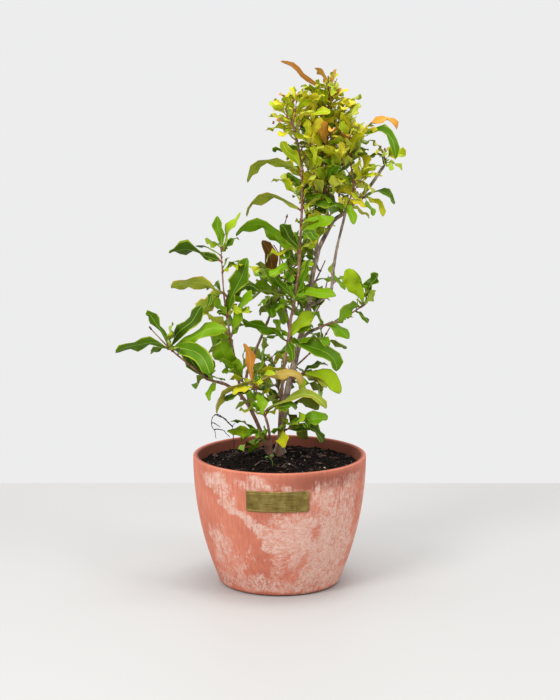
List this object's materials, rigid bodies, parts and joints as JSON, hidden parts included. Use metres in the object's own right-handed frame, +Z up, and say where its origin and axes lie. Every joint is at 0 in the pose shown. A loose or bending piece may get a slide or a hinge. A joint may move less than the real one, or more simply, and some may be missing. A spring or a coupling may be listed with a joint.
{
  "type": "potted pomegranate tree",
  "caption": "Young pomegranate tree with slim stems and arching glossy leaves, in a lime-washed terracotta-coloured planter with a bare brass plate.",
  "frame": {"origin": "centre of the pot's flat underside", "axes": "+Z up along the pot's axis, +X to the right and +Y away from a viewer who faces the brass plate"},
  "size_m": [0.2797, 0.1813, 0.5242],
  "materials": {
    "pot": "moulded stone-and-resin composite in terracotta pink with a brushed lime wash",
    "plate": "aged brushed brass, bare",
    "soil": "moist dark potting mix of peat and bark chips",
    "dead_wood": "black, dry and wiry",
    "bark": "thin grey-brown bark with fine fissures and leaf scars",
    "young_bark": "smooth red-brown young bark",
    "leaf": "glossy mid-green leaf with a paler midrib",
    "young_leaf": "glossy yellow-green young leaf with amber tips"
  },
  "bodies": {
    "root": {"pot": "pot", "label_plate": "plate", "soil": "soil", "dead_twigs": "dead_wood", "trunk": "bark", "stem_front": "young_bark", "stem_left": "young_bark", "shoot_front": "young_bark", "bough_right": "bark", "bough_centre": "bark", "bough_side": "bark", "bough_low_right": "bark", "bough_back": "bark", "bough_left_up": "young_bark", "bough_middle": "young_bark", "leaves_front": "leaf", "leaves_middle": "leaf", "leaves_trunk_right": "leaf", "leaves_low_right": "leaf", "leaves_far_left": "leaf", "leaves_left_up": "leaf", "leaves_left_middle": "leaf", "leaves_shoot": "leaf", "leaves_foot_left": "leaf", "leaves_foot_right": "leaf", "leaves_right_low": "leaf", "leaves_back_low": "leaf", "leaves_back_middle": "leaf", "leaves_back_right": "leaf", "leaves_back_high": "leaf", "leaves_right_back": "leaf", "leaves_right_under": "leaf", "leaves_top": "young_leaf", "leaves_top_right": "young_leaf", "leaves_centre": "young_leaf", "leaves_right": "young_leaf", "leaves_right_tip": "young_leaf"}
  },
  "joints": []
}
